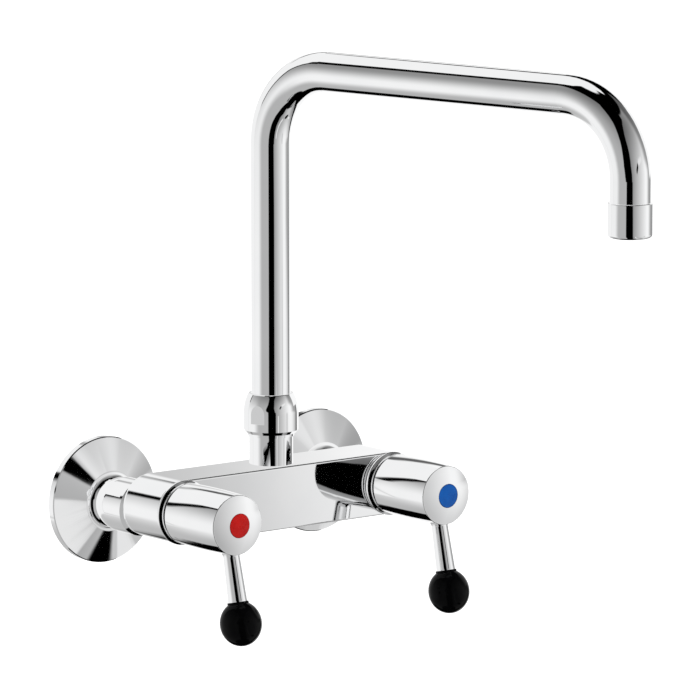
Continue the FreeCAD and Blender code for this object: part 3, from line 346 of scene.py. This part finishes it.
# The world is white to the camera and to mirrors, and a plain grey light to matt surfaces.
world = bpy.data.worlds.new("studio")
scene.world = world
sky = Nodes(world, "ShaderNodeOutputWorld")
path = sky.add("ShaderNodeLightPath")
white = sky.add("ShaderNodeBackground")
white.inputs["Color"].default_value = WHITE
soft = sky.add("ShaderNodeBackground")
soft.inputs["Color"].default_value = WHITE
soft.inputs["Strength"].default_value = SKY_LIGHT
seen = sky.total(path.outputs["Is Camera Ray"], path.outputs["Is Glossy Ray"], "MAXIMUM")
seen = sky.total(seen, path.outputs["Is Transmission Ray"], "MAXIMUM")
mix = sky.add("ShaderNodeMixShader")
sky.join(seen, mix.inputs["Fac"])
sky.join(soft.outputs["Background"], mix.inputs[1])
sky.join(white.outputs["Background"], mix.inputs[2])
sky.join(mix.outputs["Shader"], sky.output.inputs["Surface"])


# Cards that the chrome mirrors: a shell round the tap that only reflections see. Angles are in degrees.
# Azimuth 0 is straight out from the wall and 90 is the cold side; elevation is up from level.

def edge(inside):
    """0 to 1 across a card's soft edge, from the degrees that a direction lies inside it."""
    return smooth(-1.2, 1.2, inside)


def fade(start, end, value):
    """1 up to start, 0 from end on."""
    return 1 - smooth(start, end, value)


def facing(azimuth):
    """The same azimuth between -180 and 180."""
    return azimuth - 360 if azimuth > 180 else azimuth


def along(value, line):
    """Height of a line of (place, height) corners at one place."""
    if value <= line[0][0]:
        return line[0][1]
    for (low, first), (high, second) in zip(line, line[1:]):
        if value <= high:
            return first + (second - first) * (value - low) / (high - low)
    return line[-1][1]


def heading(azimuth, elevation):
    """Direction from the tap."""
    a, e = math.radians(azimuth), math.radians(elevation)
    return Vector((math.sin(a) * math.cos(e), -math.cos(a) * math.cos(e), math.sin(e)))


def strip(azimuth, elevation, corners, half_width, softness):
    """1 inside a bent strip round a line of (azimuth, elevation) corners, 0 outside it."""
    nearest = math.inf
    for (start_a, start_e), (end_a, end_e) in zip(corners, corners[1:]):
        squeeze = math.cos(math.radians((start_e + end_e) / 2))
        run_a, run_e = (end_a - start_a) * squeeze, end_e - start_e
        to_a = ((azimuth - start_a + 180) % 360 - 180) * squeeze
        to_e = elevation - start_e
        share = min(1.0, max(0.0, (to_a * run_a + to_e * run_e) / (run_a * run_a + run_e * run_e)))
        nearest = min(nearest, math.hypot(to_a - share * run_a, to_e - share * run_e))
    return fade(half_width - softness, half_width + softness, nearest)


# Upright edges of the cards and of the front card's shading, as (elevation, azimuth) corners.
BACK_LEFT_EDGE = ((9, 213), (30, 212), (36, 217), (40, 220), (46, 221), (52, 222), (58, 231), (66, 247))
BACK_RIGHT_EDGE = ((38, 148), (43, 140), (50, 137), (58, 126), (66, 100), (70, 60))
SIDE_LEFT_EDGE = ((-48, 104), (-15, 101), (-8, 97), (-1, 95), (1, 76), (20, 75), (25, 78), (32, 86))
HOT_RIGHT_EDGE = ((-45, 315), (-38, 312.5), (-25, 309.5), (-8, 309.5), (-2, 309), (1, 301.5), (5, 299.5),
                  (10, 302), (15, 305), (20, 308), (30, 310.5), (37, 311.5), (42, 308), (46, 304), (50, 300))
FRONT_LEFT_EDGE = ((-60, 5), (-55, 1), (-50, -7.5), (-45, -12), (-40, -13), (-35, -15.5), (-30, -17),
                   (-5, -17.5), (0, -22), (10, -25), (20, -23), (30, -22), (35, -19), (40, -13.5),
                   (45, -6), (50, 8))
SHADE_START = ((-10, 54), (-5, 50), (5, 50), (14, 38))
SHADE_END = ((-10, 98), (-5, 76), (5, 74), (14, 62))
# Lower edges, as (azimuth, elevation) corners.
SIDE_LOW_EDGE = ((100, -48), (146, -46), (151, -42), (154, -36))
HOT_LOW_EDGE = ((150, -42), (155, -34), (160, -34), (165, -36.5), (170, -39.5), (175, -41), (181, -42.5),
                (187, -47), (190, -60))
# Small bright cards: (azimuth, elevation) corners, half width and softness.
BRIGHT_STRIPS = (
    (((353, -13), (354, -22), (358, -32), (365, -40), (374, -45)), 2.6, 1.6),
    (((59, -43), (70, -38)), 2.2, 1.2),
    (((13, 14), (28, 16)), 4.5, 4.0),
)
BRIGHT_TONE = 0.84
# Thin gaps, seams and small flags: corners, half width, softness and the share of the light they take.
DARK_STRIPS = (
    (((361, 7.5), (366.5, 11.5)), 2.3, 0.8, 1.0),
    (((33, -9), (34.5, -17)), 2.6, 3.4, 0.33),
    (((134, 9), (140, 17), (147, 23), (156, 26.5)), 2.6, 1.4, 0.88),
    (((156, 26.5), (168, 28)), 1.5, 1.4, 0.55),
    (((148, 7), (156, 8)), 5.0, 5.0, 0.42),
    (((213, 10), (212.5, 22), (211.5, 29), (217, 36), (222, 41), (227, 48), (236, 56), (252, 66)),
     2.1, 0.8, 1.0),
    (((224, 44), (228, 51), (231, 54)), 4.5, 0.8, 1.0),
)
# A dark oval low in front: its middle and half its size, in azimuth and elevation.
OVAL_MIDDLE, OVAL_SIZE = (42.5, -48.2), (13.8, 3.5)
CEILING_TONE = 0.95


# Each card gives how far it covers one direction, and its tone there.

def hot_card(azimuth, elevation):
    """Large card on the hot side, dark in front and bright towards the wall."""
    cover = edge(along(elevation, HOT_RIGHT_EDGE) - azimuth) * edge(azimuth - 150)
    cover *= smooth(-73, -70, elevation) * edge(52 - elevation)
    if elevation < -24:
        cover *= max(edge(elevation - along(azimuth, HOT_LOW_EDGE)), edge(azimuth - 186))
    if elevation > -27:
        cover *= edge(azimuth - along(elevation, BACK_LEFT_EDGE))
    dark = 0.47 * (1 - 0.62 * smooth(0, 55, elevation))
    bright = 0.95 * (1 - 0.70 * smooth(-12, 40, elevation))
    bright *= 1 - 0.36 * fade(195, 235, azimuth) * fade(-30, -22, elevation)
    return cover, dark + (bright - dark) * fade(243, 272, azimuth) * smooth(-52, -24, elevation)


def front_card(azimuth, elevation):
    """Large card in front, darker towards the hot side, the cold side, the floor and the ceiling."""
    across = facing(azimuth)
    cover = edge(across - along(elevation, FRONT_LEFT_EDGE)) * edge(90 - across)
    cover *= smooth(-67.5, -64.5, elevation) * edge(54 - elevation)
    tone = 0.985 - 0.0104 * max(0, 45 - across)
    tone *= 1 - 0.62 * smooth(along(elevation, SHADE_START), along(elevation, SHADE_END), across)
    tone *= (1 - 0.40 * fade(-50, -5, elevation)) * (1 - 0.70 * smooth(5, 48, elevation))
    return cover, tone


def side_card(azimuth, elevation):
    """White card on the cold side."""
    cover = edge(azimuth - along(elevation, SIDE_LEFT_EDGE)) * edge(153 - azimuth)
    cover *= edge(elevation - along(azimuth, SIDE_LOW_EDGE)) * edge(33 - elevation)
    return cover, 1.0


def back_card(azimuth, elevation):
    """Nearly white card behind the tap."""
    cover = edge(along(elevation, BACK_LEFT_EDGE) - azimuth)
    cover *= edge(azimuth - along(elevation, BACK_RIGHT_EDGE)) * edge(elevation + 27)
    return cover, 0.945


def studio_tone(azimuth, elevation):
    """Brightness that the chrome sees in one direction, 1 being the white surroundings."""
    tone = 0.0
    for card in (hot_card, front_card, side_card, back_card):
        cover, card_tone = card(azimuth, elevation)
        tone += cover * (card_tone - tone)
    tone = max(tone, CEILING_TONE * smooth(78, 82, elevation))
    for corners, half_width, softness in BRIGHT_STRIPS:
        tone = max(tone, BRIGHT_TONE * strip(azimuth, elevation, corners, half_width, softness))
    for corners, half_width, softness, share in DARK_STRIPS:
        tone *= 1 - share * strip(azimuth, elevation, corners, half_width, softness)
    across = (facing(azimuth) - OVAL_MIDDLE[0]) / OVAL_SIZE[0]
    up = (elevation - OVAL_MIDDLE[1]) / OVAL_SIZE[1]
    return tone * smooth(0.8, 1.2, math.hypot(across, up))


SHELL_RADIUS = 1.2
SHELL_CENTRE = Vector((0, -0.08, 0.10))
COLUMNS, ROWS = 360, 180
NEARLY_WHITE = 0.999
shell_points, tones = [], []
for row in range(ROWS + 1):
    for column in range(COLUMNS):
        azimuth, elevation = column - 180, row - 90
        shell_points.append(SHELL_CENTRE + heading(azimuth, elevation) * SHELL_RADIUS)
        tones.append(studio_tone(azimuth % 360, elevation))
shell_faces = []
for row in range(ROWS):
    here, above = row * COLUMNS, (row + 1) * COLUMNS
    for column in range(COLUMNS):
        after = (column + 1) % COLUMNS
        corners = (here + column, here + after, above + after, above + column)
        if min(tones[corner] for corner in corners) < NEARLY_WHITE:
            shell_faces.append(corners)
shade = Shader("studio_cards")
tone_node = shade.add("ShaderNodeAttribute", attribute_name="tone")
card_glow = shade.add("ShaderNodeEmission")
shade.join(tone_node.outputs["Fac"], card_glow.inputs["Strength"])
shade.join(card_glow.outputs["Emission"], shade.output.inputs["Surface"])
shade.material.cycles.emission_sampling = "NONE"
cards = make_mesh("studio_cards", shell_points, shell_faces, shade.material)
cards.data.attributes.new("tone", "FLOAT", "POINT").data.foreach_set("value", tones)
for ray in ("camera", "diffuse", "transmission", "volume_scatter", "shadow"):
    setattr(cards, "visible_" + ray, False)


# Lamps

def lamp(name, azimuth, elevation, distance, size, power):
    """Square soft lamp that points at the tap and doesn't show in mirrors."""
    data = bpy.data.lights.new(name, "AREA")
    data.shape = "SQUARE"
    data.size = size
    data.energy = power
    thing = bpy.data.objects.new(name, data)
    scene.collection.objects.link(thing)
    thing.location = heading(azimuth, elevation) * distance
    thing.rotation_euler = heading(azimuth, elevation).to_track_quat("Z", "Y").to_euler()
    thing.visible_glossy = False


lamp("key_lamp", azimuth=-70, elevation=50, distance=2.6, size=1.6, power=42)
lamp("fill_lamp", azimuth=45, elevation=30, distance=2.8, size=1.8, power=26)
lamp("back_lamp", azimuth=170, elevation=55, distance=2.6, size=1.6, power=24)


# Camera, as fitted to the photograph

YAW = math.radians(38.24)
PITCH = math.radians(9.05)
CAMERA_PLACE = Vector((-2.07973, -2.76917, 0.62797))
LENS, SENSOR = 319.53, 36
forward = Vector((math.sin(YAW) * math.cos(PITCH), math.cos(YAW) * math.cos(PITCH), -math.sin(PITCH)))
across = Vector((math.cos(YAW), -math.sin(YAW), 0))
upward = across.cross(forward)
camera_data = bpy.data.cameras.new("camera")
camera_data.lens = LENS
camera_data.sensor_width = SENSOR
camera_data.clip_start = 0.1
camera_data.clip_end = 100
camera = bpy.data.objects.new("camera", camera_data)
scene.collection.objects.link(camera)
facing_tap = Matrix((across, upward, -forward)).transposed()
camera.matrix_world = Matrix.Translation(CAMERA_PLACE) @ facing_tap.to_4x4()
scene.camera = camera
scene.view_settings.view_transform = "Standard"
